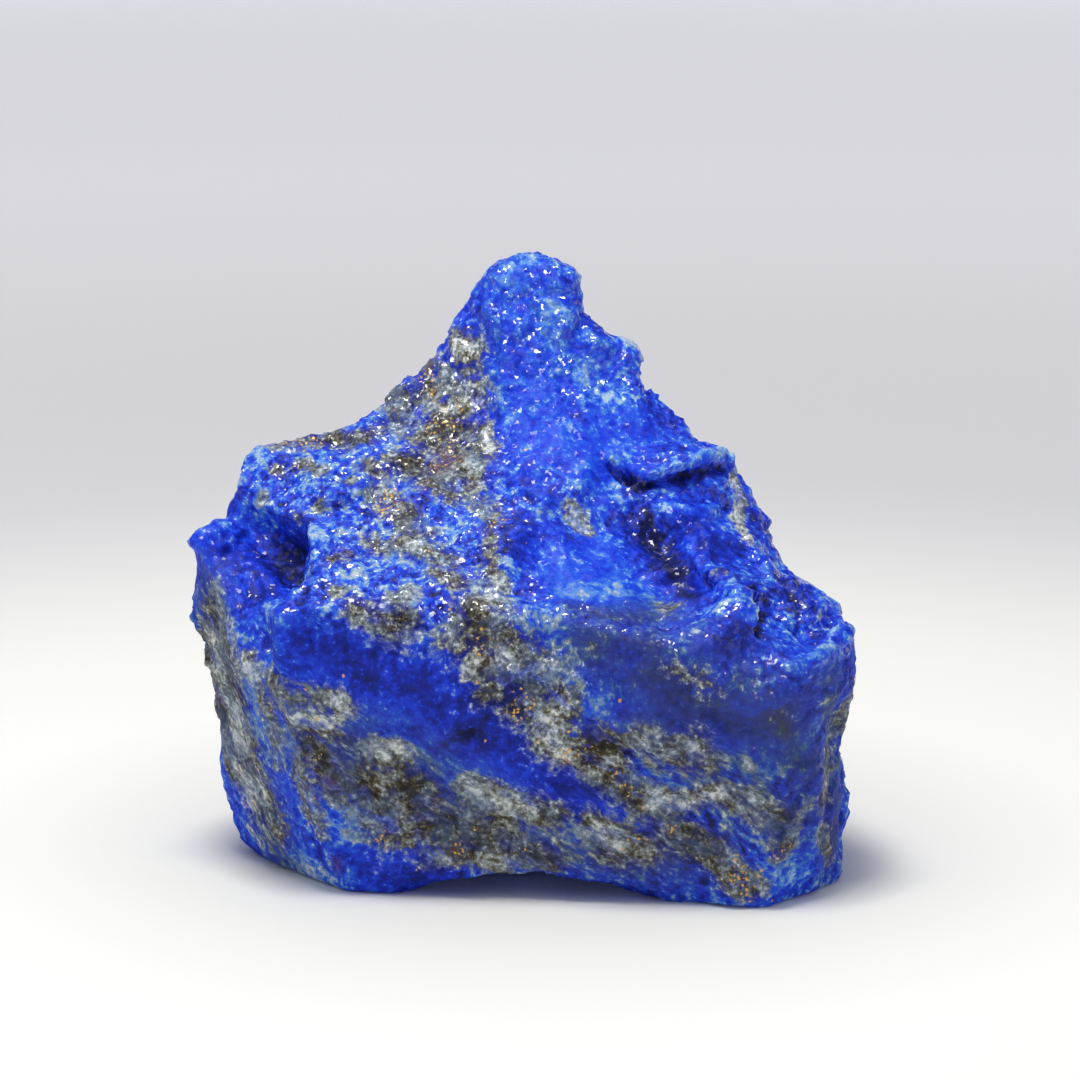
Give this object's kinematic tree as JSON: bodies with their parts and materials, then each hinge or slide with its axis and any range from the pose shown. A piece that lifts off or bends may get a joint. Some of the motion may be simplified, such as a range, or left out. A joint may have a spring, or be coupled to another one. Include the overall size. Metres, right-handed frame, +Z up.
{
  "type": "raw lapis lazuli stone",
  "caption": "Rough broken lump of blue lapis lazuli with a steep front, a sloping top with a scooped bowl and a ledge, a knob at the back, and a flat foot to stand on.",
  "frame": {"origin": "centre of the bounding box on the plane that the stone stands on", "axes": "+X to the right along the width of the steep front face, +Y away from that face towards the knob, +Z up"},
  "size_m": [0.045, 0.0292, 0.0405],
  "materials": {
    "lapis": "rough broken rock, wet-looking on the upper faces, with grey-white calcite bands and small gold flecks"
  },
  "bodies": {
    "root": {"lapis_stone": "lapis"}
  },
  "joints": []
}
